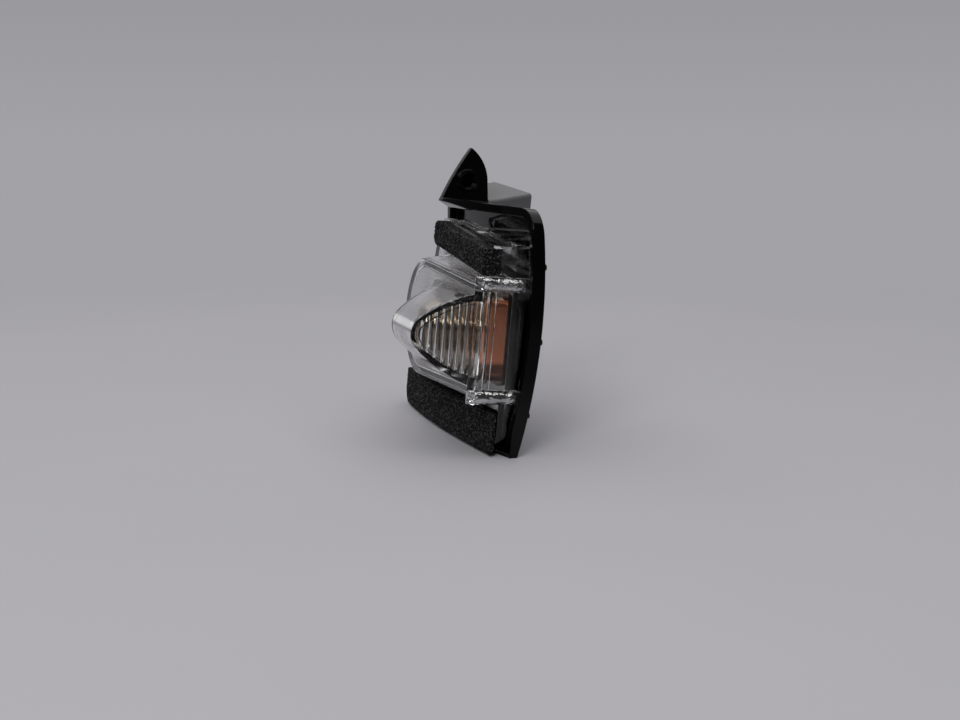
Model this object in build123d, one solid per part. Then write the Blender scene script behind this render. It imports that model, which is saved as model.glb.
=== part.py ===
from build123d import *
import math
import os

# Carrier tray
LENGTH = 95.0
HEIGHT = 70.0
TOP_FAR_X = -26.5
WALL = 2.5
FLOOR = 2.4
RIM = 3.8
REAR_FOOT = 11.3
REAR_HEAD = 18.6
REAR_BULGE = 3.6
TOP_SLOPE = 6.5
FRONT_RADIUS = 220.0
FRONT_VERTEX_X = -6.5
FRONT_LEAN = 6.0
FRONT_SUNK = 2.3
TOP_CORNER = 7.0
FAR_CORNER = 5.0
CORNER_RIM = 5.0
CORNER_DROP = 10.0
RIDGE_RISE = (1.4, 2.8)
RIDGE_OUT = -11.0
PIP_RADIUS = 0.9
PIP_HEIGHTS = (11.8, 32.7, 53.9)

# Lean of the lens and of everything on its axis
LEAN = 5.0
BULB_X = 13.5

# Lens
LENS_WALL = 2.2
SKIRT = 2.0
PLATE_OUT = -5.3
PLATE_DROP_NEAR = 7.4
PLATE_DROP_FAR = 10.6
PLATE_FOOT = 3.7
PLATE_CORNER = 3.0
BOX_DEPTH = 9.0
BOX_CLEAR = (3.1, 0.4)
BOX_DRAFT = 1.8
BOX_END_X = -10.0
BOX_FLARE = 2.4
DOME_DEPTH = 15.5
DOME_MARGIN = 2.6
DOME_NOSE = 6.5
DOME_ROOT = 1.0
DOME_END_X = 14.0
WINDOW_BACK = 10.0
WINDOW_RECESS = 0.9
FLUTE_COUNT = 8
FLUTE_PITCH = 2.1
FLUTE_RADIUS = 1.15
PEG_RADIUS = 2.0
PEG_REAR = -10.2
POST_RADII = (1.5, 1.1, 0.9)
POST_PITCH = 2.1

# Mounting lug
LUG_X = -7.5
LUG_THICK = 2.5
LUG_FRONT = -13.5
LUG_BACK = 1.7
LUG_APEX = (-5.5, 16.3)
LUG_LEFT_BULGE = (-9.9, 8.4)
LUG_RIGHT_KNEE = (0.9, 6.0)
LUG_RIGHT_BULGE = (-1.4, 12.5)
LUG_NOSE = (-13.9, -0.9)
LUG_UNDER = (-10.3, -2.7)
LUG_RUN = 34.0
LUG_BORE = 2.0
LUG_BORE_AT = (-5.9, 6.1)
LUG_BORE_DEEP = 5.5
LUG_BOSS_WALL = 1.3
LUG_RING = 3.4
LUG_RING_WALL = 0.9
LUG_RING_PROUD = 1.2

# Reflector and amber inner lens
REFLECTOR_WALL = 1.2
REFLECTOR_FAR_X = -17.5
REFLECTOR_EDGE = (2.7, -1.0)
DISH_DEPTH = 3.0
DISH_FAR_X = -12.0
DISH_MARGIN = 1.4
DISH_SIDE = 0.4
AMBER_WALL = 1.4
AMBER_FAR_X = -11.0
AMBER_GAP = 0.9
AMBER_SIDE = 1.8
AMBER_RISE = 5.8
AMBER_FLANGE = 1.4
HAT_RADIUS = 7.6
HAT_CENTRE = 3.0

# Bulb and its holder
BULB_RADIUS = 5.0
BULB_GLASS = 0.7
BULB_TIP = 8.0
BULB_FOOT = -11.0
WEDGE = (9.2, 2.6, 6.4)
FILAMENT_SPAN = 4.4
FILAMENT_UP = 1.0
WIRE_RADIUS = 0.3
HOLDER_RADIUS = 9.6
HOLDER_FRONT = -12.2
HOLDER_CLEAR = 0.3
FLANGE_RADIUS = 15.5
FLANGE_THICK = 2.5
GASKET_WALL = 1.8
GASKET_THICK = 2.2
GRIP = (9.0, 20.0, 3.0)

# Current path on the rear
PAD_OUT = -16.0
PAD_WIDTH = 6.6
RAIL_WIDTH = 3.0
RAIL_THICK = 0.8
CONTACT_THICK = 0.5
WIPER_LAND = 1.0
LIVE_RUN_RISE = 4.0
EARTH_RUN_UP = 14.0

# Connector
CONNECTOR_X = -20.2
CONNECTOR_DROP = 3.4
CONNECTOR_WIDE = 18.0
CONNECTOR_TALL = 15.0
CONNECTOR_AIM = (10.6, 27.1, -14.4)
CONNECTOR_CORNER = 1.2
CONNECTOR_DEEP = 15.7
CONNECTOR_FLOOR = 6.8
CONNECTOR_WALL = 1.6
PIN_SPACING = 5.0
PIN_WIDTH = 2.4
PIN_LENGTH = 5.0

# Foam strips
FOAM_THICK = 5.6
FOAM_WIDTH = 7.6
FOAM_CORNER = 2.6
FOAM_LEDGE = 2.5
FOAM_LIP = (0.9, 2.8)
UPPER_FOAM_FAR_X = -5.0
UPPER_FOAM_DROP = (12.6, 18.0)
LOWER_FOAM_FAR_X = -40.0
LOWER_FOAM_UP = (0.9, 12.9)
LOWER_FOAM_CORNER = (5.0, 2.0)
LOWER_FOAM_RADIUS = 380.0
LOWER_FOAM_SUNK = 0.6

# Standing feet on the rear
FOOT_X = (-36.0, -16.0)
FOOT_THICK = 2.4
FOOT_REACH = 24.0
FOOT_HEIGHT = 10.0

SEAT = 0.15

NEAR_X = LENGTH / 2
FAR_X = -LENGTH / 2
BOX_NEAR = NEAR_X - WALL - 2 * SEAT

lean = math.radians(LEAN)
box_base = (HEIGHT - UPPER_FOAM_DROP[1] - LOWER_FOAM_UP[1] - sum(BOX_CLEAR)) / 2
box_front = box_base - BOX_DRAFT
axis_up = LOWER_FOAM_UP[1] + BOX_CLEAR[0] + box_base
dome_half = box_front - DOME_MARGIN
amber_half = box_front - LENS_WALL - AMBER_SIDE
dish_half = amber_half + DISH_SIDE
reflector_up = (-box_base - REFLECTOR_EDGE[0], box_base + REFLECTOR_EDGE[1])
box_out = PLATE_OUT + BOX_DEPTH
tip_out = box_out + DOME_DEPTH
plate_rear = PLATE_OUT - LENS_WALL
flange_out = PAD_OUT - GASKET_THICK
gasket_inner = HOLDER_RADIUS + SEAT
gasket_outer = gasket_inner + GASKET_WALL
wiper_reach = gasket_outer + SEAT + RAIL_WIDTH / 2 + WIPER_LAND
live_run_up = axis_up + wiper_reach + LIVE_RUN_RISE
connector_up = HEIGHT - CONNECTOR_DROP
ledge_out = PLATE_OUT + FOAM_LEDGE
reflector_near = BOX_NEAR - SKIRT - 2 * SEAT
amber_near = BOX_NEAR - LENS_WALL - AMBER_GAP
foam_near = BOX_NEAR - 2 * SEAT

# The box round the whole lamp is centred on Y
SOCKET = Pos(CONNECTOR_X, connector_up, PAD_OUT) * Rot(*CONNECTOR_AIM)
rearmost = SOCKET * Pos(CONNECTOR_WIDE / 2, CONNECTOR_TALL / 2 - CONNECTOR_CORNER, -CONNECTOR_DEEP)
front_reach = tip_out * math.cos(lean) - axis_up * math.sin(lean)
rear_reach = rearmost.position.Y * math.sin(lean) - rearmost.position.Z * math.cos(lean)
Y_FRONT = (front_reach - rear_reach) / 2


def leaning(degrees):
    angle = math.radians(degrees)
    return Plane((0, Y_FRONT, 0), x_dir=(1, 0, 0), z_dir=(0, -math.cos(angle), math.sin(angle))).location


PLACE = leaning(LEAN)
TOP = Pos(0, Y_FRONT + REAR_HEAD, HEIGHT) * Rot(-TOP_SLOPE, 0, 0)


def polygon(points):
    return make_face(Polyline(*points, close=True))


def rounded(corners):
    face = polygon([point for point, radius in corners])
    for point, radius in corners:
        if radius:
            vertex = face.vertices().sort_by_distance((*point, 0))[0]
            face = fillet(vertex, radius)
    return face


def along_x(face, x0, x1):
    return extrude(Plane.YZ.offset(x0) * face, x1 - x0)


def outward(face, z0, z1):
    return extrude(Plane.XY.offset(z0) * face, z1 - z0)


def stub(x, up, z0, z1, radius):
    return Pos(x, up, (z0 + z1) / 2) * Cylinder(radius, z1 - z0)


def block(x, up, out):
    size = [abs(b - a) for a, b in (x, up, out)]
    middle = [(a + b) / 2 for a, b in (x, up, out)]
    return Pos(*middle) * Box(*size)


# The rear of the carrier is part of a drum lying along X
rear_chord = math.hypot(REAR_HEAD - REAR_FOOT, HEIGHT)
rear_radius = (rear_chord ** 2 / 4 + REAR_BULGE ** 2) / (2 * REAR_BULGE)
drum_y = Y_FRONT + (REAR_FOOT + REAR_HEAD) / 2 + HEIGHT / rear_chord * (REAR_BULGE - rear_radius)
drum_z = HEIGHT / 2 + (REAR_FOOT - REAR_HEAD) / rear_chord * (REAR_BULGE - rear_radius)
floor_radius = rear_radius - FLOOR


def drum(radius):
    return along_x(Pos(drum_y, drum_z) * Circle(radius), FAR_X - 5, NEAR_X + 5)


def rear_y(up):
    return drum_y + math.sqrt(rear_radius ** 2 - (up - drum_z) ** 2)


def barrel(degrees, radius, sunk):
    upright = Rot(90, 0, 0) * Cylinder(radius, 3 * HEIGHT)
    return leaning(degrees) * Pos(FRONT_VERTEX_X, HEIGHT / 2, -radius - sunk) * upright


def carrier_front(clear):
    return barrel(FRONT_LEAN, FRONT_RADIUS, FRONT_SUNK - clear)


# The outline is drawn square to the sloped top and cut level at the foot
far_slope = (TOP_FAR_X - FAR_X) / HEIGHT


def carrier_outline():
    below = 6.0
    return rounded([((NEAR_X, -below), 0), ((NEAR_X, HEIGHT), TOP_CORNER),
                    ((TOP_FAR_X, HEIGHT), FAR_CORNER), ((FAR_X - below * far_slope, -below), 0)])


def room(face, foot):
    sloped = TOP * Pos(0, 0, -HEIGHT) * extrude(Plane.XZ * face, 60, both=True)
    return sloped & block((FAR_X, NEAR_X), (-60, 60), (foot, 2 * HEIGHT))


def tray():
    outline = carrier_outline()
    whole = room(outline, 0)
    floor = (drum(rear_radius) - drum(floor_radius)) & whole
    walls = (whole - room(offset(outline, -WALL), WALL)) & carrier_front(0) & drum(rear_radius)
    between = block((FAR_X, NEAR_X), (-60, 60), (WALL, HEIGHT - WALL))
    corner = block((FAR_X, LUG_X), (-60, 60), (HEIGHT - CORNER_DROP, 2 * HEIGHT))
    walls -= drum(rear_radius - RIM) & (between - corner)
    return floor + (walls - (drum(rear_radius - CORNER_RIM) & corner))


def ridge():
    near = HEIGHT - PLATE_DROP_NEAR
    far = HEIGHT - PLATE_DROP_FAR
    low, high = RIDGE_RISE
    bar = polygon([(NEAR_X - WALL / 2, near + low), (NEAR_X - WALL / 2, near + high),
                   (far_edge(far), far + high), (far_edge(far), far + low)])
    return PLACE * outward(bar, -30, RIDGE_OUT) & drum(rear_radius - FLOOR / 2)


def lug_tab():
    front = REAR_HEAD - FRONT_SUNK
    nose = LUG_NOSE[0]
    side = polygon([(LUG_BACK, 0), (LUG_FRONT, 0), LUG_NOSE, LUG_UNDER, (LUG_UNDER[0], -WALL),
                    (LUG_BACK - WALL, -WALL)])
    plan = Polyline((LUG_X, nose), (LUG_X, LUG_BACK), (LUG_RUN, LUG_BACK - WALL), (LUG_RUN, nose + 0.6 * front))
    sweep = ThreePointArc((LUG_RUN, nose + 0.6 * front), (LUG_RUN / 2, nose + 0.24 * front), (LUG_X, nose))
    return along_x(side, LUG_X, LUG_RUN) & outward(make_face(plan + sweep), -9, 9)


def lug():
    near = LUG_X + LUG_THICK
    left = ThreePointArc((LUG_FRONT, 0), LUG_LEFT_BULGE, LUG_APEX)
    right = ThreePointArc(LUG_APEX, LUG_RIGHT_BULGE, LUG_RIGHT_KNEE)
    foot = Polyline(LUG_RIGHT_KNEE, (LUG_BACK, 0), (LUG_BACK - WALL, -WALL), LUG_UNDER, (LUG_FRONT, 0))
    fin = along_x(make_face(left + right + foot), LUG_X, near)
    centre = Pos(*LUG_BORE_AT)
    end = near - LUG_BORE_DEEP
    boss = along_x(centre * Circle(LUG_BORE + LUG_BOSS_WALL), end - LUG_BOSS_WALL, near)
    ring = along_x(centre * Circle(LUG_RING), LUG_X, near + LUG_RING_PROUD)
    cup = along_x(centre * Circle(LUG_RING - LUG_RING_WALL), near, near + 9)
    bore = along_x(centre * Circle(LUG_BORE), end, near + 9)
    return TOP * (lug_tab() + fin + boss + ring - cup - bore)


def pads():
    strips = Part()
    for x, up in live_run() + earth_run():
        grow = (PAD_WIDTH - RAIL_WIDTH) / 2
        strips += block((x[0] - grow, x[1] + grow), (up[0] - grow, up[1] + grow), (PAD_OUT, 0))
    strips += stub(BULB_X, axis_up, PAD_OUT, 0, FLANGE_RADIUS)
    strips += socket_bar(0) & block((-99, 99), (0, 99), (PAD_OUT, 0))
    return (PLACE * strips - drum(rear_radius - FLOOR / 2)) & room(carrier_outline(), 0)


def feet():
    root = Y_FRONT + REAR_FOOT - 1
    reach = Y_FRONT + FOOT_REACH
    side = polygon([(root, 0), (reach, 0), (reach, WALL), (rear_y(FOOT_HEIGHT) - 1, FOOT_HEIGHT)])
    return [along_x(side, x - FOOT_THICK / 2, x + FOOT_THICK / 2) for x in FOOT_X]


def pips():
    x = NEAR_X - 2 * PIP_RADIUS
    return [Pos(x, rear_y(up), up) * Rot(90, 0, 0) * Cylinder(PIP_RADIUS, 1.6) for up in PIP_HEIGHTS]


def make_carrier():
    body = tray() + ridge() + lug() + pads() + feet() + pips()
    hole = stub(BULB_X, axis_up, PAD_OUT - 1, 0, HOLDER_RADIUS + HOLDER_CLEAR)
    body -= PLACE * hole
    return body


def far_edge(up):
    return FAR_X + far_slope * up + (WALL + 3 * SEAT) * math.hypot(1, far_slope)


def lens_outline():
    near_top = HEIGHT - PLATE_DROP_NEAR
    far_top = HEIGHT - PLATE_DROP_FAR
    corners = [(BOX_NEAR, PLATE_FOOT), (BOX_NEAR, near_top),
               (far_edge(far_top), far_top), (far_edge(PLATE_FOOT), PLATE_FOOT)]
    return rounded([(corner, PLATE_CORNER) for corner in corners])


def round_end(side, x):
    half = side & Pos(50, 0) * Rectangle(100, 200)
    return revolve(Plane.YZ.offset(x) * half, Axis((x, 0, 0), (0, 0, 1)), 180)


def box_side(half, wall):
    base = half - wall
    front = base - BOX_DRAFT
    rear = plate_rear - wall
    top = box_out - wall
    return rounded([((front, top), 1.0), ((-front, top), 1.0), ((-base, PLATE_OUT), 0),
                    ((-base, rear), 0), ((base, rear), 0), ((base, PLATE_OUT), 0)])


def box_shape(wall):
    near = Plane.YZ.offset(BOX_NEAR - wall) * box_side(box_base, wall)
    far = box_side(box_base + BOX_FLARE, wall)
    return loft([Plane.YZ.offset(BOX_END_X) * far, near], ruled=True) + round_end(far, BOX_END_X)


def arch(wall):
    half = dome_half - wall
    foot = box_out - wall - DOME_ROOT
    knee = (DOME_NOSE - wall) * math.sqrt(0.5)
    bend = tip_out - DOME_NOSE + knee
    nose = ThreePointArc((-knee, bend), (0, tip_out - wall), (knee, bend))
    left = TangentArc((-knee, bend), (-half, foot), tangent=(-1, -1))
    right = TangentArc((knee, bend), (half, foot), tangent=(1, -1))
    return make_face(nose + left + right + Line((-half, foot), (half, foot)))


def dome_shape(wall):
    side = arch(wall)
    bar = along_x(side, DOME_END_X, BOX_NEAR + 6)
    return bar + round_end(side, DOME_END_X)


def window_plane(inward):
    run = Vector(-WINDOW_BACK, 0, DOME_DEPTH).normalized()
    normal = Vector(run.Z, 0, -run.X)
    origin = Vector(BOX_NEAR, 0, box_out) - normal * inward
    return Plane(origin, x_dir=run, z_dir=normal)


def flutes(cavity):
    face = window_plane(WINDOW_RECESS + LENS_WALL)
    rods = []
    for i in range(FLUTE_COUNT):
        rod = Rot(90, 0, 0) * Cylinder(FLUTE_RADIUS, 2 * dome_half)
        rods.append(Pos(face.origin + face.x_dir * (i + 0.9) * FLUTE_PITCH) * rod & cavity)
    return rods


def end_frame():
    parts = []
    for up in (-box_front, box_front):
        peg = stub(BOX_NEAR + 0.5, up, PEG_REAR + PEG_RADIUS, box_out - 1, PEG_RADIUS)
        parts.append(peg + Pos(BOX_NEAR + 0.5, up, PEG_REAR + PEG_RADIUS) * Sphere(PEG_RADIUS))
    for i, radius in enumerate(POST_RADII):
        rod = Rot(90, 0, 0) * Cylinder(radius, 2 * box_front + 4)
        parts.append(Pos(BOX_NEAR, 0, box_out - 0.6 - i * POST_PITCH) * rod)
    return parts


def make_lens():
    outline = lens_outline()
    outside = window_plane(0)
    pane_outer = window_plane(WINDOW_RECESS)
    pane_inner = window_plane(WINDOW_RECESS + LENS_WALL)
    bore = dome_shape(LENS_WALL)
    nose = split(dome_shape(0), bisect_by=outside, keep=Keep.BOTTOM)
    cavity = box_shape(LENS_WALL) + split(bore, bisect_by=pane_inner, keep=Keep.BOTTOM)
    recess = split(split(bore, bisect_by=outside, keep=Keep.BOTTOM), bisect_by=pane_outer, keep=Keep.TOP)
    raised = box_shape(0) + nose + end_frame()
    raised = raised - cavity - (recess & block((0, 99), (-40, 40), (box_out, 99))) + flutes(cavity)
    plate = outward(outline, PLATE_OUT - 20, PLATE_OUT)
    plate -= outward(offset(outline, -SKIRT), PLATE_OUT - 21, plate_rear)
    plate += outward(upper_strip(FOAM_LIP[0]), plate_rear, ledge_out + FOAM_LIP[1])
    plate -= outward(upper_strip(SEAT), ledge_out, box_out)
    plate -= Pos(0, axis_up, 0) * cavity
    lens = plate + Pos(0, axis_up, 0) * raised
    return PLACE * lens & drum(floor_radius - SEAT)


def make_reflector():
    top = plate_rear - SEAT
    size_x = reflector_near - REFLECTOR_FAR_X
    size_up = reflector_up[1] - reflector_up[0]
    middle = (reflector_near + REFLECTOR_FAR_X) / 2
    sheet = Pos(middle, sum(reflector_up) / 2) * RectangleRounded(size_x, size_up, 4)
    dish_x = reflector_near - DISH_MARGIN - DISH_FAR_X
    dish = Pos(DISH_FAR_X + dish_x / 2, 0) * RectangleRounded(dish_x, 2 * dish_half, 5)
    down = Plane((0, 0, top), x_dir=(1, 0, 0), z_dir=(0, 0, -1))
    outer = extrude(down * offset(dish, REFLECTOR_WALL), DISH_DEPTH + REFLECTOR_WALL, taper=35)
    inner = extrude(down * dish, DISH_DEPTH, taper=35)
    body = outward(sheet, top - REFLECTOR_WALL, top) + outer - inner
    body -= stub(BULB_X, 0, top - 9, top, BULB_RADIUS + 1.2)
    return PLACE * Pos(0, axis_up, 0) * body


def make_amber_inner_lens():
    foot = plate_rear
    top = foot + AMBER_RISE
    middle = (AMBER_FAR_X + amber_near) / 2
    width = amber_near - AMBER_FAR_X
    outline = Pos(middle, 0) * RectangleRounded(width, 2 * amber_half, 2.5)
    brim = offset(outline, AMBER_FLANGE) & Pos(middle - 10, 0) * Rectangle(width + 20, 99)
    body = outward(brim, foot, foot + AMBER_WALL) + outward(outline, foot, top)
    body += stub(BULB_X, 0, foot, HAT_CENTRE, HAT_RADIUS) + Pos(BULB_X, 0, HAT_CENTRE) * Sphere(HAT_RADIUS)
    core = HAT_RADIUS - AMBER_WALL
    hollow = outward(offset(outline, -AMBER_WALL), foot - 1, top - AMBER_WALL)
    hollow += stub(BULB_X, 0, foot, HAT_CENTRE, core) + Pos(BULB_X, 0, HAT_CENTRE) * Sphere(core)
    return PLACE * Pos(0, axis_up, 0) * (body - hollow - block((-99, 99), (-99, 99), (foot - 20, foot)))


def capsule(radius, foot, tip):
    return stub(0, 0, foot, tip - radius, radius) + Pos(0, 0, tip - radius) * Sphere(radius)


def on_bulb_axis(shape):
    return PLACE * Pos(BULB_X, axis_up, 0) * shape


def make_bulb_glass():
    glass = capsule(BULB_RADIUS, BULB_FOOT, BULB_TIP)
    glass -= capsule(BULB_RADIUS - BULB_GLASS, BULB_FOOT + BULB_GLASS, BULB_TIP - BULB_GLASS)
    width, thick, deep = WEDGE
    glass += block((-width / 2, width / 2), (-thick / 2, thick / 2), (BULB_FOOT - deep, BULB_FOOT + 0.1))
    return on_bulb_axis(glass)


def make_bulb_filament():
    span = FILAMENT_SPAN / 2
    foot = BULB_FOOT + BULB_GLASS + SEAT
    leads = [stub(x, 0, foot, FILAMENT_UP, WIRE_RADIUS) for x in (-span, span)]
    coil = Rot(0, 90, 0) * Cylinder(1.6 * WIRE_RADIUS, FILAMENT_SPAN + 2 * WIRE_RADIUS)
    return on_bulb_axis(Pos(0, 0, FILAMENT_UP) * coil + leads)


def contact(side):
    inner = WEDGE[1] / 2 + SEAT
    width = (-RAIL_WIDTH / 2, RAIL_WIDTH / 2)
    leg_rear = flange_out - CONTACT_THICK
    leg = block(width, (inner, inner + CONTACT_THICK), (leg_rear, HOLDER_FRONT - SEAT))
    leg += block(width, (inner, wiper_reach), (leg_rear, flange_out))
    leg += block(width, (wiper_reach - CONTACT_THICK, wiper_reach), (leg_rear, PAD_OUT - RAIL_THICK))
    return leg if side > 0 else Rot(0, 0, 180) * leg


def make_holder_contacts():
    return on_bulb_axis(contact(1) + contact(-1))


def make_bulb_holder():
    flange_rear = flange_out - FLANGE_THICK
    width, thick, deep = WEDGE
    body = stub(0, 0, flange_out, HOLDER_FRONT, HOLDER_RADIUS)
    body += stub(0, 0, flange_rear, flange_out, FLANGE_RADIUS)
    grip = RectangleRounded(GRIP[0], GRIP[1], 2)
    body += outward(grip, flange_rear - GRIP[2], flange_rear)
    slot_x = width / 2 + SEAT
    slot_up = thick / 2 + SEAT
    body -= block((-slot_x, slot_x), (-slot_up, slot_up), (BULB_FOOT - deep - SEAT, 0))
    return on_bulb_axis(body - contact(1) - contact(-1))


def make_holder_gasket():
    ring = stub(0, 0, flange_out, PAD_OUT, gasket_outer) - stub(0, 0, flange_out, PAD_OUT, gasket_inner)
    return on_bulb_axis(ring)


def behind_pads(shape):
    return shape & block((-99, 99), (-99, 199), (-99, PAD_OUT))


def socket_bar(inset):
    face = RectangleRounded(CONNECTOR_WIDE, CONNECTOR_TALL, CONNECTOR_CORNER)
    return SOCKET * outward(offset(face, -inset) if inset else face, -CONNECTOR_DEEP, 2 * CONNECTOR_DEEP)


def pin_at(side):
    root = Plane(SOCKET * Pos(side * PIN_SPACING / 2, 0, 0))
    where = root.origin + root.z_dir * ((PAD_OUT - root.origin.Z) / root.z_dir.Z)
    return where.X, where.Y


def blade(side, grow):
    width = PIN_WIDTH / 2 + grow
    thick = RAIL_THICK / 2 + grow
    reach = side * PIN_SPACING / 2
    pin = block((reach - width, reach + width), (-thick, thick), (-CONNECTOR_FLOOR - PIN_LENGTH, CONNECTOR_DEEP))
    return behind_pads(SOCKET * pin)


def strip(x, up):
    half = RAIL_WIDTH / 2
    return (min(x) - half, max(x) + half), (min(up) - half, max(up) + half)


def live_run():
    start = axis_up + wiper_reach - WIPER_LAND
    x, up = pin_at(1)
    return [strip((BULB_X, BULB_X), (start, live_run_up)), strip((x, BULB_X), (live_run_up, live_run_up)),
            strip((x, x), (live_run_up, up))]


def earth_run():
    start = axis_up - wiper_reach + WIPER_LAND
    x, up = pin_at(-1)
    level = (EARTH_RUN_UP, EARTH_RUN_UP)
    return [strip((BULB_X, BULB_X), (EARTH_RUN_UP, start)), strip((x, BULB_X), level),
            strip((x, x), (EARTH_RUN_UP, up))]


def run_solid(run, grow):
    body = Part()
    for x, up in run:
        wide = (x[0] - grow, x[1] + grow)
        tall = (up[0] - grow, up[1] + grow)
        body += block(wide, tall, (PAD_OUT - RAIL_THICK - grow, PAD_OUT))
    return body


def make_rail(run, side):
    return PLACE * (run_solid(run, 0) + blade(side, 0))


def make_connector_shell():
    web = SOCKET * block((-99, 99), (-99, 99), (-CONNECTOR_FLOOR, 99))
    shell = behind_pads(socket_bar(0)) - (socket_bar(CONNECTOR_WALL) - web)
    shell -= run_solid(live_run(), SEAT) + run_solid(earth_run(), SEAT)
    return PLACE * (shell - blade(-1, SEAT) - blade(1, SEAT))


def upper_strip(lip):
    high, low = [HEIGHT - drop for drop in UPPER_FOAM_DROP]
    return rounded([((foam_near, low), 0), ((foam_near, low + FOAM_WIDTH + lip), 0),
                    ((UPPER_FOAM_FAR_X, high + FOAM_WIDTH + lip), FOAM_CORNER),
                    ((UPPER_FOAM_FAR_X, high), FOAM_CORNER)])


def make_upper_foam():
    return PLACE * outward(upper_strip(0), ledge_out + SEAT, ledge_out + FOAM_THICK)


def make_lower_foam():
    low, high = LOWER_FOAM_UP
    side = rounded([((foam_near, low), 0), ((foam_near, high), 0), ((LOWER_FOAM_FAR_X, high), LOWER_FOAM_CORNER[1]),
                    ((LOWER_FOAM_FAR_X, low), LOWER_FOAM_CORNER[0])])
    strip_block = PLACE * outward(side, PLATE_OUT + SEAT, 5)
    sill = block((-LENGTH, LENGTH), (-60, 60), (-SEAT, WALL + SEAT)) & carrier_front(SEAT)
    return (strip_block & barrel(LEAN, LOWER_FOAM_RADIUS, LOWER_FOAM_SUNK)) - sill


def save(shape, name):
    export_step(shape, "parts/" + name + ".step")


os.makedirs("parts", exist_ok=True)
save(make_carrier(), "carrier")
save(make_lens(), "lens")
save(make_reflector(), "reflector")
save(make_amber_inner_lens(), "amber_inner_lens")
save(make_bulb_glass(), "bulb_glass")
save(make_bulb_filament(), "bulb_filament")
save(make_bulb_holder(), "bulb_holder")
save(make_holder_gasket(), "holder_gasket")
save(make_holder_contacts(), "holder_contacts")
save(make_rail(live_run(), 1), "live_rail")
save(make_rail(earth_run(), -1), "earth_rail")
save(make_connector_shell(), "connector_shell")
save(make_upper_foam(), "upper_foam_seal")
save(make_lower_foam(), "lower_foam_seal")
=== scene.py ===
"""Looks of a side repeater lamp: clear lens, amber inner lens, dark tray and foam strips."""
import math

import bpy
import numpy as np
from bpy.props import FloatProperty, FloatVectorProperty, IntProperty, PointerProperty
from bpy.types import Operator, Panel, PropertyGroup
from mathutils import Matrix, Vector


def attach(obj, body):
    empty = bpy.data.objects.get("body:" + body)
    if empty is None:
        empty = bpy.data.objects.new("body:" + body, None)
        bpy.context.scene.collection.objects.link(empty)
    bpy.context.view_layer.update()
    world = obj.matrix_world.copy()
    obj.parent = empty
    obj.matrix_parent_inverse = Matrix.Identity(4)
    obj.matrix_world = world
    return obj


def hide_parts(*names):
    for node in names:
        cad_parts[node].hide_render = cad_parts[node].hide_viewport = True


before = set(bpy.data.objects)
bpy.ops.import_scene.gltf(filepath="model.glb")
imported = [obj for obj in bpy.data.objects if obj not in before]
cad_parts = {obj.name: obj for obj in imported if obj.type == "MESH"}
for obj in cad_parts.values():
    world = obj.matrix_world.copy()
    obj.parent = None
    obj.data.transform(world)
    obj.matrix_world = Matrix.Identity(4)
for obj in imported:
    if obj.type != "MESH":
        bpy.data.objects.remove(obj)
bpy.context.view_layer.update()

bl_info = {
    "name": "Side Repeater Lamp",
    "version": (1, 0, 0),
    "blender": (4, 5, 0),
    "location": "View3D > Sidebar > Lamp",
    "description": "Dresses the lamp's solids: foam strips, plastics, metal and a plain stage",
    "category": "Object",
}

MM = 0.001

# Carrier: its eased edges, and the sill under the lower strip
EDGE_ROUND = 0.45 * MM
EDGE_SAMPLES = 6
SILL_RADIUS = 220.0 * MM
SILL_SUNK = 2.2 * MM
SILL_TOP = 3.0 * MM
SILL_SKIN = 0.3 * MM
SILL_LIP = 0.1 * MM

# Clear lens, in the leaned frame: its slanted window, the reach of its haze, and its pegs
WINDOW_X = 44.7 * MM
WINDOW_OUT = 3.7 * MM
WINDOW_NORMAL = (0.840, 0.542)
WINDOW_DEEP = 4.5 * MM
HAZE_X = 38.0 * MM
HAZE_FADE = 2.5 * MM
AXIS_UP = 33.8 * MM
PEG_UP = 16.0 * MM
PEG_BAND = 2.1 * MM
PEG_X = 42.4 * MM
PEG_FADE = 0.4 * MM

# Refraction
CLEAR_IOR = 1.49
GLASS_IOR = 1.47

# Amber inner lens: shares of its copper, from its lower to its upper edge; the low shares at both edges
# are painted shade, standing in for darker reflections
AMBER_NEAR = 41.6 * MM
AMBER_FADE = 16.0 * MM
AMBER_LOW = 22.0 * MM
AMBER_HIGH = 47.5 * MM
AMBER_BACK = -6.3 * MM
AMBER_EDGE = 0.4 * MM
AMBER_PAINTED_SHADES = ((0.0, 0.14), (0.17, 0.20), (0.22, 1.0), (0.87, 1.0), (0.92, 0.14))

# Reflector: where its coat ends, and where its flange turns satin
REFLECTOR_NEAR = 42.1 * MM
REFLECTOR_SIDE = 39.6 * MM
COAT_FADE = 1.0 * MM
COAT_EDGE = 0.4 * MM
SATIN_FROM = -8.8 * MM
SATIN_FULL = -7.8 * MM
# Dark plastic where the reflector's coat ends; on the amber lens's near wall it is painted shade
BARE_PLASTIC_AND_SHADE = (0.004, 0.004, 0.004, 1.0)

# Foam pores: the hash that places them, and their reach in cells of their lattice
HASH_STEPS = (73856093, 19349663, 83492791)
HASH_TURNS = (0.013, 0.029, 0.041)
HASH_GAIN = 43758.5453
HASH_SEED = 7919
COARSE_REACH = 0.62
COARSE_CURVE = 0.8
FINE_CELL = 0.55
FINE_REACH = 0.6
FINE_SHARE = 0.35
FINE_SEED = 3

# Stage: paper floor and backdrop, camera, and the point that the light faces
FLOOR_RADIUS = 6.0
FLOOR_RINGS = 24
FLOOR_SPOKES = 96
PAPER_BEND = (0.28, 0.50)
PAPER_SHADE = (0.10, 0.17)
PAPER_DIM = 0.66
WALL_TURN = math.radians(22.0)
WALL_EDGE = (math.cos(math.radians(43.5)), math.cos(math.radians(38.0)))
WALL_HIGH = 0.5
WALL_HIGH_TONE = 0.4
SENSOR_WIDTH = 36.0
CLIP_START = 0.01
LIGHT_AIM = (0.0, 0.0, 0.04)

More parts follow.
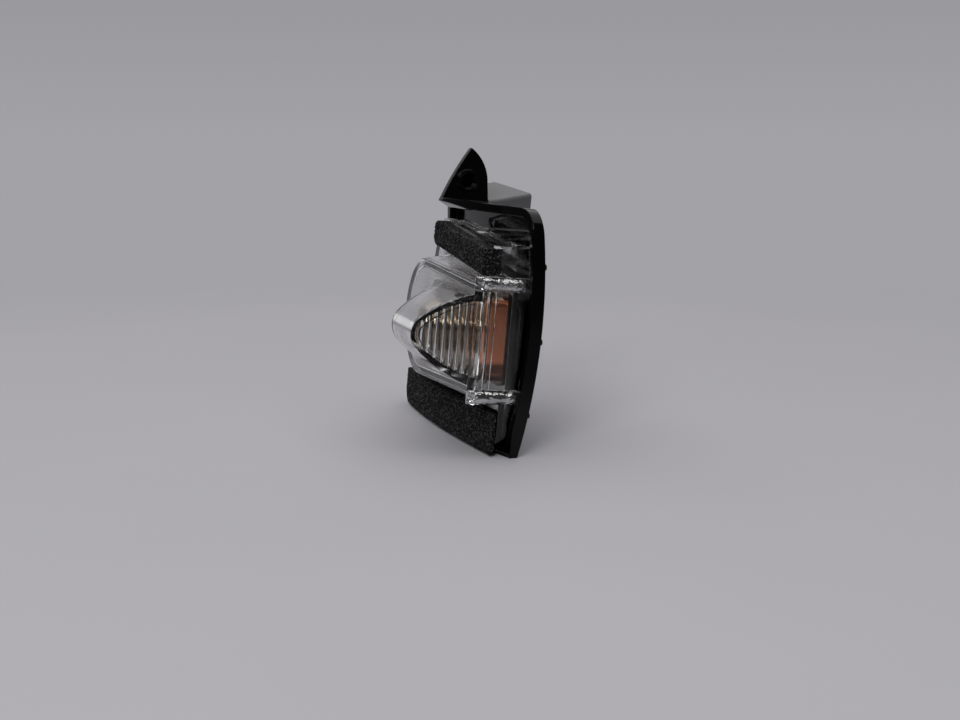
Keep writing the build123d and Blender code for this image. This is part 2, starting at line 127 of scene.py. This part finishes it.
# Soft boxes: name, place, size and watts
SOFT_BOXES = (
    ("overhead", (-0.15, 0.0, 1.3), (2.2, 2.4), 22.5),
    ("near", (0.85, -0.6, 0.65), (0.4, 0.4), 5.0),
    ("left", (-1.3, -0.33, 0.17), (0.38, 0.26), 0.3),
)


# Sizes and colours

def reach_of(node):
    """The lowest and highest X of a CAD node."""
    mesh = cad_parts[node].data
    points = np.empty(len(mesh.vertices) * 3)
    mesh.vertices.foreach_get("co", points)
    return round(float(points[0::3].min()), 6), round(float(points[0::3].max()), 6)


UPPER_FAR, STRIPS_NEAR = reach_of("upper_foam_seal")
LOWER_FAR = reach_of("lower_foam_seal")[0]


def length(name, text, value):
    """A property that holds a length in metres."""
    return FloatProperty(name=name, description=text, default=value, unit="LENGTH", precision=5)


def tint(name, text, value):
    """A property that holds a linear colour."""
    return FloatVectorProperty(name=name, description=text, default=value, subtype="COLOR", size=3,
                               min=0.0, max=1.0)


def turned(name, text, degrees):
    """A property that holds an angle."""
    return FloatProperty(name=name, description=text, default=math.radians(degrees), subtype="ANGLE")


class LampLean(PropertyGroup):
    """The leaned frame that the lens and its seals sit in."""
    angle: turned("Lean", "Lean of the lens from upright", 5.0)
    front: length("Front", "Y of the lean's foot", -11.8788 * MM)
    plate: length("Plate", "Face of the lens plate, outward from the lean", -5.15 * MM)
    near: length("Near end", "X of the strips' near ends", STRIPS_NEAR)


class FoamSizes(PropertyGroup):
    """Sizes and pores of the foam strips."""
    ledge: length("Ledge", "Height of the upper strip's seat above the plate", 2.5 * MM)
    thick: length("Thickness", "Upper strip, away from its seat", 5.45 * MM)
    width: length("Width", "Upper strip, along the plate", 7.6 * MM)
    far: length("Far end", "X of the upper strip's far end", UPPER_FAR)
    high: length("High end", "Lower edge of the upper strip at its far end", 57.4 * MM)
    low: length("Low end", "Lower edge of the upper strip at its near end", 52.0 * MM)
    sill_far: length("Lower far end", "X of the lower strip's far end", LOWER_FAR)
    sill_foot: length("Foot", "Lower edge of the lower strip", 0.9 * MM)
    sill_head: length("Head", "Upper edge of the lower strip", 12.9 * MM)
    curve: length("Curve", "Radius of the lower strip's face", 380.0 * MM)
    vertex: length("Vertex", "X where the lower strip's face stands furthest out", -6.5 * MM)
    sunk: length("Sunk", "How far the lower strip's face is set back", 0.6 * MM)
    corner: length("Corner", "Upper strip's far corners", 2.6 * MM)
    sill_low: length("Lower corner", "Lower strip's far corner at its foot", 5.0 * MM)
    sill_high: length("Upper corner", "Lower strip's far corner at its head", 2.0 * MM)
    pore: length("Pore", "Distance between pores", 0.8 * MM)
    pit: length("Pit", "Depth of a pore", 0.36 * MM)
    step: length("Step", "Spacing of the mesh", 0.22 * MM)
    seed: IntProperty(name="Seed", description="Seed of the foam's pores", default=7)


class LampColours(PropertyGroup):
    """Base colours of the finishes."""
    carrier: tint("Carrier", "Moulded black plastic", (0.0010, 0.0010, 0.00105))
    foam: tint("Foam", "Foam strips", (0.0037, 0.0037, 0.0038))
    copper: tint("Copper", "Inner lens at its near wall", (0.95, 0.36, 0.19))
    khaki: tint("Khaki", "Inner lens over the bulb", (0.60, 0.52, 0.42))
    chrome: tint("Chrome", "Reflector", (0.90, 0.90, 0.91))
    connector: tint("Connector", "Grey socket shell", (0.135, 0.135, 0.139))
    holder: tint("Holder", "Bulb holder", (0.02, 0.02, 0.021))
    brass: tint("Brass", "Rails and contacts", (0.62, 0.44, 0.19))
    wire: tint("Wire", "Filament", (0.45, 0.45, 0.47))
    rubber: tint("Rubber", "Gasket", (0.012, 0.012, 0.012))


class StageSettings(PropertyGroup):
    """Floor, light and camera."""
    floor: tint("Floor", "Paper floor", (0.45, 0.44, 0.465))
    wall: tint("Wall", "Paper backdrop", (0.365, 0.36, 0.38))
    room: tint("Room", "Unlit room behind the camera", (0.05, 0.05, 0.052))
    camera: FloatVectorProperty(name="Camera", description="Place of the camera", size=3, subtype="XYZ",
                                unit="LENGTH", default=(0.3859, -0.124279, 0.0892))
    yaw: turned("Yaw", "Turn of the view from -X towards +Y", 18.4)
    pitch: turned("Pitch", "Fall of the view", 9.6)
    lens: FloatProperty(name="Lens", description="Focal length in millimetres", default=48.75)


# Shader arithmetic

class Wire:
    """A socket of a node tree that joins in Python arithmetic: each sum or product adds a Math node."""

    def __init__(self, tree, socket=None):
        self.tree = tree
        self.socket = socket

    def node(self, kind, inputs=None, settings=None, out=0):
        """Adds a node: its settings first, then its sockets' values or links. Gives one of its outputs."""
        made = self.tree.nodes.new(kind)
        for name, value in (settings or {}).items():
            if name == "stops":
                self.set_stops(made.color_ramp, value)
            else:
                setattr(made, name, value)
        for name, value in (inputs or {}).items():
            if isinstance(value, Wire):
                self.tree.links.new(value.socket, made.inputs[name])
            else:
                made.inputs[name].default_value = value
        return Wire(self.tree, made.outputs[out]) if made.outputs else None

    def set_stops(self, ramp, stops):
        """Gives a colour ramp its stops of place and grey."""
        while len(ramp.elements) < len(stops):
            ramp.elements.new(0.5)
        for element, (where, grey) in zip(ramp.elements, stops):
            element.position = where
            element.color = (grey, grey, grey, 1.0)

    def combine(self, operation, a, b):
        """A Math node on two values or wires."""
        return self.node("ShaderNodeMath", {0: a, 1: b}, {"operation": operation})

    def __add__(self, other):
        return self.combine("ADD", self, other)

    def __radd__(self, other):
        return self.combine("ADD", other, self)

    def __sub__(self, other):
        return self.combine("SUBTRACT", self, other)

    def __rsub__(self, other):
        return self.combine("SUBTRACT", other, self)

    def __mul__(self, other):
        return self.combine("MULTIPLY", self, other)

    def __rmul__(self, other):
        return self.combine("MULTIPLY", other, self)

    def __truediv__(self, other):
        return self.combine("DIVIDE", self, other)

    def __rtruediv__(self, other):
        return self.combine("DIVIDE", other, self)

    def __pow__(self, other):
        return self.combine("POWER", self, other)

    def __rpow__(self, other):
        return self.combine("POWER", other, self)

    def __abs__(self):
        return self.combine("ABSOLUTE", self, 0.0)

    def clamp(self):
        """Keeps a value between 0 and 1."""
        return self.combine("MINIMUM", self.combine("MAXIMUM", self, 0.0), 1.0)


def rgba(colour, gain=1.0):
    """A colour times a gain, kept at 1 or less, with full alpha."""
    return tuple(min(1.0, c * gain) for c in colour) + (1.0,)


def start(name):
    """A new material with an empty tree, and the wire that adds its nodes."""
    material = bpy.data.materials.new(name)
    material.use_nodes = True
    material.node_tree.nodes.clear()
    return material, Wire(material.node_tree)


def place(wire):
    """The Object coordinates as one vector."""
    return wire.node("ShaderNodeTexCoord", out="Object")


def axes(wire):
    """The three Object coordinates as wires."""
    outputs = wire.node("ShaderNodeSeparateXYZ", {0: place(wire)}).socket.node.outputs
    return [Wire(wire.tree, socket) for socket in outputs]


def leaned_axes(wire, lean):
    """The Object coordinates turned into the leaned frame: along, up and out."""
    x, y, z = axes(wire)
    c, s = math.cos(lean.angle), math.sin(lean.angle)
    return x, (y - lean.front) * s + z * c, (lean.front - y) * c + z * s


def noise(wire, scale, detail):
    """Fractal noise on Object coordinates; scale is in cycles per metre."""
    return wire.node("ShaderNodeTexNoise", {"Vector": place(wire), "Scale": scale, "Detail": detail})


def blend(wire, mask, low, high):
    """A colour between two, by a mask: the Mix node's sockets 6 and 7, and its output 2."""
    return wire.node("ShaderNodeMix", {0: mask, 6: low, 7: high}, {"data_type": "RGBA"}, out=2)


def ramp(wire, share, stops):
    """A grey that follows stops of place and value."""
    return wire.node("ShaderNodeValToRGB", {0: share}, {"stops": stops})


def rising(value, low, high):
    """Grows from 0 at low to 1 at high, and stays there."""
    return ((value - low) * (1.0 / (high - low))).clamp()


def bump(wire, height, distance, strength=1.0, **inputs):
    """A normal that follows a height of up to the distance."""
    sockets = {"Height": height, "Distance": distance, "Strength": strength, **inputs}
    return wire.node("ShaderNodeBump", sockets)


def principled(wire, **inputs):
    """A Principled shader: each keyword is a socket's name, with underscores for its spaces."""
    sockets = {key.replace("_", " "): value for key, value in inputs.items()}
    return wire.node("ShaderNodeBsdfPrincipled", sockets)


def mixed(wire, share, first, second):
    """A shader between two, by a share."""
    return wire.node("ShaderNodeMixShader", {0: share, 1: first, 2: second})


def finish(wire, shader):
    """Closes a material's tree with its surface."""
    wire.node("ShaderNodeOutputMaterial", {"Surface": shader})


def lit_share(x, y, reach):
    """How much of the backdrop's light stands in a direction: full behind the lamp, none at its sides."""
    away = (x * -math.cos(WALL_TURN) + y * math.sin(WALL_TURN)) / reach
    return rising(away, *WALL_EDGE)


# Finishes

def gloss_black(name, colour, rough):
    """Moulded plastic: near black, with soft flow marks in its gloss, a fine grain and eased edges."""
    material, wire = start(name)
    flow = noise(wire, scale=90.0, detail=2.0)
    grain = noise(wire, scale=2600.0, detail=2.0)
    eased_edges = wire.node("ShaderNodeBevel", {"Radius": EDGE_ROUND}, {"samples": EDGE_SAMPLES})
    finish(wire, principled(
        wire, Base_Color=blend(wire, flow, rgba(colour, 0.7), rgba(colour, 1.5)),
        Roughness=(flow - 0.5) * 0.12 + rough, Specular_IOR_Level=0.2,
        Normal=bump(wire, grain, 0.02 * MM, strength=0.2, Normal=eased_edges)))
    return material


def clear_plastic(name, lean):
    """Clear moulded lens: polished at its end window, a little hazy on the box and dome behind it.

    The haze grows with the depth behind the window's slanted plane, and leaves out the near end. The
    pegs carry flow marks and sparkle like the facets of a thick clear piece.
    """
    material, wire = start(name)
    ripple = noise(wire, scale=55.0, detail=1.0)
    marks = noise(wire, scale=520.0, detail=2.0)
    x, up, out = leaned_axes(wire, lean)
    depth = (WINDOW_X - x) * WINDOW_NORMAL[0] + (WINDOW_OUT - out) * WINDOW_NORMAL[1]
    behind = rising(depth, WINDOW_DEEP, WINDOW_DEEP + HAZE_FADE)
    hazy = behind * (1.0 - rising(x, HAZE_X - HAZE_FADE, HAZE_X))
    off_peg = abs(abs(up - AXIS_UP) - PEG_UP)
    pegs = (1.0 - rising(off_peg, PEG_BAND - PEG_FADE, PEG_BAND)) * rising(x, PEG_X, PEG_X + PEG_FADE)
    finish(wire, principled(
        wire, Base_Color=(1.0, 1.0, 1.0, 1.0), Transmission_Weight=1.0, IOR=CLEAR_IOR,
        Metallic=pegs * 0.45, Roughness=hazy * (ripple * 0.08 + 0.08),
        Normal=bump(wire, ripple * 0.024 + pegs * marks * 0.75, MM)))
    return material


def amber_plastic(name, copper, khaki, lean):
    """Mirror-backed amber lens: copper at its near wall, fading along X to a dull, clearer khaki.

    The copper carries painted shade in dark bands at the near wall's lower and upper edges, standing in
    for darker reflections, and turns dark at its rear edge.
    """
    material, wire = start(name)
    ripple = noise(wire, scale=120.0, detail=2.0)
    x, up, out = leaned_axes(wire, lean)
    end = rising(x, AMBER_NEAR - AMBER_FADE, AMBER_NEAR)
    height = (up + (ripple - 0.5) * MM - AMBER_LOW) * (1.0 / (AMBER_HIGH - AMBER_LOW))
    # Painted shade: the ramp darkens the copper in bands at its lower and upper edges; the rear edge turns
    # dark too
    painted_shade = ramp(wire, height, AMBER_PAINTED_SHADES) * rising(out, AMBER_BACK - AMBER_EDGE, AMBER_BACK)
    wall = blend(wire, painted_shade, BARE_PLASTIC_AND_SHADE, rgba(copper))
    finish(wire, principled(
        wire, Base_Color=blend(wire, end, rgba(khaki), wall), Metallic=end * 0.5 + 0.4,
        Transmission_Weight=1.0, IOR=CLEAR_IOR, Roughness=ripple * 0.1 + 0.14,
        Normal=bump(wire, ripple, 0.6 * MM, strength=0.15)))
    return material


def mirror_coat(name, colour, lean):
    """Metallised plastic: a mirror with slow waves, a satin flange, and bare dark plastic at its near end.

    The coat fades out at the near edge, and doesn't reach the outer side of the near wall.
    """
    material, wire = start(name)
    wave = noise(wire, scale=60.0, detail=3.0)
    x, _, out = leaned_axes(wire, lean)
    flange = rising(out, SATIN_FROM, SATIN_FULL)
    outside = rising(x, REFLECTOR_SIDE, REFLECTOR_SIDE + COAT_EDGE) * (1.0 - flange)
    coat = (1.0 - rising(x, REFLECTOR_NEAR - COAT_FADE, REFLECTOR_NEAR)) * (1.0 - outside)
    bright = blend(wire, wave, rgba(colour, 0.94), rgba(colour, 1.04))
    finish(wire, principled(
        wire, Base_Color=blend(wire, coat, BARE_PLASTIC_AND_SHADE, bright), Metallic=coat * (1.0 - flange * 0.6),
        Roughness=wave * 0.15 + flange * 0.2 + 0.28, Normal=bump(wire, wave, 0.3 * MM, strength=0.1)))
    return material


def metal(name, colour, rough, scale):
    """Plated or stamped metal with slow waves in its gloss and fine brushing."""
    material, wire = start(name)
    wave = noise(wire, scale, detail=3.0)
    fine = noise(wire, 40.0 * scale, detail=2.0)
    finish(wire, principled(
        wire, Base_Color=blend(wire, wave, rgba(colour, 0.88), rgba(colour, 1.06)), Metallic=1.0,
        Roughness=wave * 0.1 + rough, Normal=bump(wire, fine, 0.01 * MM, strength=0.2)))
    return material


def matt_plastic(name, colour, rough):
    """Spark-eroded plastic: matt, with a fine even grain and slight clouding."""
    material, wire = start(name)
    cloud = noise(wire, scale=140.0, detail=3.0)
    grain = noise(wire, scale=3200.0, detail=2.0)
    finish(wire, principled(
        wire, Base_Color=blend(wire, cloud, rgba(colour, 0.88), rgba(colour, 1.12)),
        Roughness=cloud * 0.12 + rough, Normal=bump(wire, grain, 0.04 * MM, strength=0.5)))
    return material


def bulb_glass(name):
    """Thin clear bulb glass with a trace of draw lines."""
    material, wire = start(name)
    lines = noise(wire, scale=220.0, detail=2.0)
    finish(wire, principled(
        wire, Base_Color=(0.98, 0.98, 0.98, 1.0), Transmission_Weight=1.0, IOR=GLASS_IOR,
        Roughness=lines * 0.02, Normal=bump(wire, lines, 0.1 * MM, strength=0.05)))
    return material


def foam_finish(name, colour):
    """Open-pored foam: painted shade darkens its pits against paler cell walls, and a dry, rough face."""
    material, wire = start(name)
    cells = wire.node("ShaderNodeTexVoronoi", {"Vector": place(wire), "Scale": 1300.0}, {"feature": "F1"})
    speck = noise(wire, scale=1600.0, detail=1.0)
    # Low values of the mask are the pits of the bump; the base colour paints shade into them
    mask = (cells * 1.2 + (speck - 0.5) * 4.2 - 0.22).clamp()
    finish(wire, principled(
        wire, Base_Color=blend(wire, mask ** 3.0, rgba(colour, 0.03), rgba(colour, 15.0)),
        Roughness=0.95 - mask * 0.15, Specular_IOR_Level=0.25,
        Normal=bump(wire, mask, 0.3 * MM, strength=0.8)))
    return material


def paint(node, material):
    """Gives every slot of a CAD node that finish."""
    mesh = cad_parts[node].data
    if not mesh.materials:
        mesh.materials.append(material)
    for index in range(len(mesh.materials)):
        mesh.materials[index] = material


# Foam strips

def cell_distance(points, cell, seed):
    """Distance from each point to the nearest of a jittered lattice of feature points, in cells.

    Each cell of the lattice holds one point, placed by a hash of the cell's three whole numbers, and
    the nearest of the 27 cells round each point is kept.
    """
    scaled = points / cell
    home = np.floor(scaled).astype(np.int64)
    best = np.full(len(points), np.inf)
    for shift in np.ndindex(3, 3, 3):
        corner = home + np.array(shift) - 1
        hashed = (corner * np.array(HASH_STEPS)).sum(axis=1) + seed * HASH_SEED
        jitter = [np.modf(np.abs(np.sin(hashed * turn) * HASH_GAIN))[0] for turn in HASH_TURNS]
        best = np.minimum(best, np.linalg.norm(corner + np.stack(jitter, axis=1) - scaled, axis=1))
    return best


def pore_depth(points, cell, seed):
    """Share of a pore's depth at each point: coarse pores with finer ones between them.

    Each kind falls from 1 at its feature points to 0 at its reach, and their sum stops at 1.
    """
    coarse = np.clip(1.0 - cell_distance(points, cell, seed) / COARSE_REACH, 0.0, 1.0)
    between = cell_distance(points, FINE_CELL * cell, seed + FINE_SEED)
    fine = np.clip(1.0 - between / FINE_REACH, 0.0, 1.0)
    return np.clip(coarse ** COARSE_CURVE + FINE_SHARE * fine, 0.0, 1.0)


def leaned(lean, points):
    """Points (x, up, out) of the leaned frame as (X, Y, Z): up and out turn by the lean about X."""
    c, s = math.cos(lean.angle), math.sin(lean.angle)
    x, up, out = points[..., 0], points[..., 1], points[..., 2]
    return np.stack([x, lean.front + up * s - out * c, up * c + out * s], axis=-1)


def spaced(first, last, step):
    """Even places from first to last, about a step apart."""
    return np.linspace(first, last, max(2, int(round((last - first) / step)) + 1))


def rounding(along, radius):
    """How far an edge is drawn in at a distance from its end by a corner of that radius."""
    return radius - np.sqrt(radius ** 2 - np.maximum(radius - along, 0.0) ** 2)


def bowed(xs, vertex, radius):
    """How far a circle of that radius lies behind its vertex, as a negative distance."""
    return np.sqrt(radius ** 2 - (xs - vertex) ** 2) - radius


def sections_of(pairs, step):
    """Many-sided sections along x: each pair gives a corner's two coordinates at every x.

    Each side is cut into equal steps of about that size, as many as its longest section needs.
    """
    corners = np.stack([np.stack(pair, axis=1) for pair in pairs], axis=1)
    nexts = np.roll(corners, -1, axis=1)
    longest = np.linalg.norm(nexts - corners, axis=2).max(axis=0)
    counts = [max(3, int(round(side / step))) for side in longest]
    sides = []
    for i, count in enumerate(counts):
        t = np.arange(count)[None, :, None] / count
        sides.append(corners[:, i, None] * (1 - t) + nexts[:, i, None] * t)
    return np.concatenate(sides, axis=1)


def eased(loop, width):
    """A closed loop with its corners rounded by a running mean over a few of its points."""
    return sum(np.roll(loop, k, axis=1) for k in range(-width, width + 1)) / (2 * width + 1)


def strip_rings(xs, sections, ease, cap):
    """Rings of points for a strip along x: its sections in order, then each end drawn in to a point.

    A cap ring at share t of the way keeps the end section scaled by 1 - t about its middle.
    """
    loops = eased(sections, ease)
    rings = np.concatenate([np.broadcast_to(xs[:, None, None], loops.shape[:2] + (1,)), loops], axis=2)

    def drawn_in(ring):
        middle = ring.mean(axis=0)
        share = np.linspace(1.0, 0.0, cap + 1)[1:, None, None]
        return middle + (ring - middle) * share

    return np.concatenate([drawn_in(rings[0])[::-1], rings, drawn_in(rings[-1])])


def ring_normals(rings):
    """Unit normals of a closed grid of rings, from the cross product of its two directions."""
    along = np.gradient(rings, axis=0)
    around = np.roll(rings, -1, axis=1) - np.roll(rings, 1, axis=1)
    normal = np.cross(around, along)
    size = np.linalg.norm(normal, axis=2, keepdims=True)
    return normal / np.maximum(size, 1e-12)


def ring_quads(rows, around):
    """Four-sided faces between closed rings of points, for that many rows of faces."""
    row = np.arange(rows)[:, None] * around
    col = np.arange(around)[None, :]
    ahead = (col + 1) % around
    quads = [row + col, row + ahead, row + around + ahead, row + around + col]
    return np.stack(quads, axis=-1).reshape(-1, 4)


def ring_fan(first, tip, around):
    """Triangles from a closed ring of points, which starts at first, to the point at its tip."""
    ring = np.arange(around)
    return np.stack([first + ring, first + (ring + 1) % around, np.full(around, tip)], axis=1)


def ring_mesh(name, rings):
    """A closed mesh from rings whose first and last ring are single points."""
    count, around = rings.shape[:2]
    inner = rings[1:-1].reshape(-1, 3)
    verts = np.concatenate([inner, rings[:1, 0], rings[-1:, 0]])
    first_fan = ring_fan(0, len(inner), around)[:, [1, 0, 2]]
    last_fan = ring_fan((count - 3) * around, len(inner) + 1, around)
    faces = ring_quads(count - 3, around).tolist() + first_fan.tolist() + last_fan.tolist()
    mesh = bpy.data.meshes.new(name)
    mesh.from_pydata(verts.tolist(), [], faces)
    mesh.shade_smooth()
    return mesh


def outside_first(mesh):
    """Turns a closed mesh whose signed volume is negative, so that its faces point outwards."""
    mesh.calc_loop_triangles()
    tris = np.empty(len(mesh.loop_triangles) * 3, dtype=np.int64)
    mesh.loop_triangles.foreach_get("vertices", tris)
    verts = np.empty(len(mesh.vertices) * 3)
    mesh.vertices.foreach_get("co", verts)
    a, b, c = verts.reshape(-1, 3)[tris.reshape(-1, 3)].transpose(1, 0, 2)
    if np.einsum("ij,ij->", a, np.cross(b, c)) < 0:
        mesh.flip_normals()


def add_strip(context, node, rings, material):
    """A foam strip that stands for a CAD node: leaned rings, pitted along their normals by pores."""
    foam = context.scene.lamp_foam
    rings = leaned(context.scene.lamp_lean, rings)
    normals = ring_normals(rings)
    outward = np.sign(np.einsum("ijk,ijk->", normals, rings - rings.mean(axis=(0, 1))))
    pit = pore_depth(rings.reshape(-1, 3), foam.pore, foam.seed)
    pitted = rings - normals * outward * foam.pit * pit.reshape(rings.shape[:2] + (1,))
    pitted[0], pitted[-1] = pitted[0].mean(axis=0), pitted[-1].mean(axis=0)
    mesh = ring_mesh(node + "_strip", pitted)
    outside_first(mesh)
    mesh.materials.append(material)
    strip = bpy.data.objects.new(node + "_strip", mesh)
    context.scene.collection.objects.link(strip)
    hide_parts(node)
    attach(strip, "root")


# Operators

class LAMP_OT_foam(Operator):
    """Make the two foam strips"""
    bl_idname = "lamp.foam"
    bl_label = "Foam strips"

    def execute(self, context):
        foam, lean = context.scene.lamp_foam, context.scene.lamp_lean
        material = foam_finish("open_pored_foam", context.scene.lamp_colours.foam)
        add_strip(context, "upper_foam_seal", self.upper(foam, lean), material)
        add_strip(context, "lower_foam_seal", self.lower(foam, lean), material)
        return {"FINISHED"}

    def upper(self, foam, lean):
        """A square section carried along the plate, falling evenly from its far to its near end."""
        xs = spaced(foam.far, lean.near, foam.step)
        share = (xs - foam.far) / (lean.near - foam.far)
        seat = lean.plate + foam.ledge
        back, face = np.full_like(xs, seat), np.full_like(xs, seat + foam.thick)
        edge = foam.high + (foam.low - foam.high) * share
        tuck = rounding(xs - foam.far, foam.corner)
        foot, head = edge + tuck, edge + foam.width - tuck
        pairs = ((foot, back), (foot, face), (head, face), (head, back))
        return strip_rings(xs, sections_of(pairs, foam.step), ease=2, cap=13)

    def lower(self, foam, lean):
        """A section with a step over the carrier's sill; its face follows a circle seen from above."""
        xs = spaced(foam.sill_far, lean.near, foam.step)
        face = bowed(xs, foam.vertex, foam.curve) - foam.sunk
        sill = bowed(xs, foam.vertex, SILL_RADIUS) - SILL_SUNK
        sill = np.maximum(np.minimum(sill, face - SILL_SKIN), lean.plate)
        back = np.full_like(xs, lean.plate)
        foot = foam.sill_foot + rounding(xs - foam.sill_far, foam.sill_low)
        head = foam.sill_head - rounding(xs - foam.sill_far, foam.sill_high)
        step = np.maximum(SILL_TOP, foot + SILL_LIP)
        pairs = ((foot, face), (head, face), (head, back), (step, back), (step, sill), (foot, sill))
        return strip_rings(xs, sections_of(pairs, foam.step), ease=1, cap=8)


class LAMP_OT_plastics(Operator):
    """Finish the moulded plastic pieces"""
    bl_idname = "lamp.plastics"
    bl_label = "Plastics"

    def execute(self, context):
        colours, lean = context.scene.lamp_colours, context.scene.lamp_lean
        paint("carrier", gloss_black("moulded_black", colours.carrier, rough=0.08))
        paint("lens", clear_plastic("clear_lens", lean))
        paint("amber_inner_lens", amber_plastic("amber_lens", colours.copper, colours.khaki, lean))
        paint("connector_shell", matt_plastic("grey_shell", colours.connector, rough=0.5))
        paint("bulb_holder", matt_plastic("dark_holder", colours.holder, rough=0.45))
        paint("holder_gasket", matt_plastic("gasket_rubber", colours.rubber, rough=0.7))
        return {"FINISHED"}


class LAMP_OT_metals(Operator):
    """Finish the reflector, the bulb and the current path"""
    bl_idname = "lamp.metals"
    bl_label = "Metal and bulb"

    def execute(self, context):
        colours = context.scene.lamp_colours
        paint("reflector", mirror_coat("chromed_reflector", colours.chrome, context.scene.lamp_lean))
        brass = metal("stamped_brass", colours.brass, rough=0.22, scale=150.0)
        for node in ("holder_contacts", "live_rail", "earth_rail"):
            paint(node, brass)
        paint("bulb_filament", metal("drawn_wire", colours.wire, rough=0.3, scale=300.0))
        paint("bulb_glass", bulb_glass("clear_bulb"))
        return {"FINISHED"}


class LAMP_OT_stage(Operator):
    """Make the floor, the light and the camera"""
    bl_idname = "lamp.stage"
    bl_label = "Stage"

    def execute(self, context):
        stage = context.scene.lamp_stage
        context.scene.view_settings.view_transform = "Standard"
        self.floor(context, stage)
        self.world(context, stage)
        self.lamps(context)
        self.camera(context, stage)
        return {"FINISHED"}

    def floor(self, context, stage):
        """A disc of paper: rings round the lamp, whose radius grows with the square of their number."""
        radius = FLOOR_RADIUS * np.linspace(0.0, 1.0, FLOOR_RINGS)[1:, None] ** 2
        turn = np.linspace(0.0, 2 * np.pi, FLOOR_SPOKES, endpoint=False)
        level = np.zeros((len(radius), FLOOR_SPOKES))
        rings = np.stack([radius * np.cos(turn), radius * np.sin(turn), level], axis=-1)
        verts = np.concatenate([rings.reshape(-1, 3), [[0.0, 0.0, 0.0]]])
        quads = ring_quads(len(rings) - 1, FLOOR_SPOKES)[:, ::-1]
        fan = ring_fan(0, len(verts) - 1, FLOOR_SPOKES)
        mesh = bpy.data.meshes.new("paper_floor")
        mesh.from_pydata(verts.tolist(), [], quads.tolist() + fan.tolist())
        mesh.materials.append(self.paper(stage))
        floor = bpy.data.objects.new("paper_floor", mesh)
        context.scene.collection.objects.link(floor)

    def paper(self, stage):
        """Pale paper that fades, all round, into the backdrop's tone.

        The camera sees it lit everywhere. Other rays find it lit behind the lamp, and dimmer towards
        the camera, where the room is dark.
        """
        material, wire = start("pale_paper")
        cloud = noise(wire, scale=9.0, detail=4.0)
        base = blend(wire, cloud, rgba(stage.floor, 0.97), rgba(stage.floor, 1.03))
        x, y, _ = axes(wire)
        reach = (x * x + y * y) ** 0.5
        seen = wire.node("ShaderNodeLightPath", out="Is Camera Ray")
        shaded = rising(x, *PAPER_SHADE) * (1.0 - seen) * PAPER_DIM
        bend = (rising(reach, *PAPER_BEND) + shaded).clamp()
        share = (lit_share(x, y, reach) + seen).clamp()
        sheet = principled(wire, Base_Color=base, Roughness=1.0, Specular_IOR_Level=0.0)
        dim, lit = [wire.node("ShaderNodeEmission", {"Color": rgba(tone)})
                    for tone in (stage.room, stage.wall)]
        finish(wire, mixed(wire, bend, sheet, mixed(wire, share, dim, lit)))
        return material

    def world(self, context, stage):
        """The backdrop's tone for the camera; other rays find it lit behind the lamp and dim elsewhere."""
        world = bpy.data.worlds.new("studio")
        context.scene.world = world
        world.use_nodes = True
        world.node_tree.nodes.clear()
        wire = Wire(world.node_tree)
        seen = wire.node("ShaderNodeLightPath", out="Is Camera Ray")
        x, y, z = axes(wire)
        dim, lit, high = [wire.node("ShaderNodeBackground", {"Color": tone}) for tone in
                          (rgba(stage.room), rgba(stage.wall), rgba(stage.wall, WALL_HIGH_TONE))]
        room = mixed(wire, lit_share(x, y, 1.0), dim, lit)
        backdrop = mixed(wire, rising(z, 0.0, WALL_HIGH), lit, high)
        wire.node("ShaderNodeOutputWorld", {"Surface": mixed(wire, seen, room, backdrop)})

    def lamps(self, context):
        """Soft boxes that face the lamp.

        A broad one hangs overhead, a small one stands behind the camera and a faint one at the far left.
        """
        for name, where, size, power in SOFT_BOXES:
            light = bpy.data.lights.new(name, "AREA")
            light.shape = "RECTANGLE"
            light.size, light.size_y = size
            light.energy = power
            box = bpy.data.objects.new(name, light)
            box.location = where
            box.rotation_euler = (Vector(LIGHT_AIM) - Vector(where)).to_track_quat("-Z", "Y").to_euler()
            context.scene.collection.objects.link(box)

    def camera(self, context, stage):
        """A camera that looks along -X, turned by the yaw and lowered by the pitch."""
        data = bpy.data.cameras.new("camera")
        data.lens = stage.lens
        data.sensor_width = SENSOR_WIDTH
        data.clip_start = CLIP_START
        camera = bpy.data.objects.new("camera", data)
        level = math.cos(stage.pitch)
        ahead = Vector((-math.cos(stage.yaw) * level, math.sin(stage.yaw) * level, -math.sin(stage.pitch)))
        camera.location = stage.camera
        camera.rotation_euler = ahead.to_track_quat("-Z", "Y").to_euler()
        context.scene.collection.objects.link(camera)
        context.scene.camera = camera


class LAMP_PT_sidebar(Panel):
    """Lists the lamp's operators"""
    bl_label = "Side Repeater Lamp"
    bl_idname = "LAMP_PT_sidebar"
    bl_space_type = "VIEW_3D"
    bl_region_type = "UI"
    bl_category = "Lamp"

    def draw(self, context):
        for operator in OPERATORS:
            self.layout.operator(operator.bl_idname)


GROUPS = {
    "lamp_lean": LampLean,
    "lamp_foam": FoamSizes,
    "lamp_colours": LampColours,
    "lamp_stage": StageSettings,
}
OPERATORS = (LAMP_OT_foam, LAMP_OT_plastics, LAMP_OT_metals, LAMP_OT_stage)
CLASSES = (*GROUPS.values(), *OPERATORS, LAMP_PT_sidebar)


def register():
    for cls in CLASSES:
        bpy.utils.register_class(cls)
    for name, group in GROUPS.items():
        setattr(bpy.types.Scene, name, PointerProperty(type=group))


def unregister():
    for name in GROUPS:
        delattr(bpy.types.Scene, name)
    for cls in reversed(CLASSES):
        bpy.utils.unregister_class(cls)


def main():
    register()
    bpy.ops.lamp.foam()
    bpy.ops.lamp.plastics()
    bpy.ops.lamp.metals()
    bpy.ops.lamp.stage()


if __name__ == "__main__":
    main()
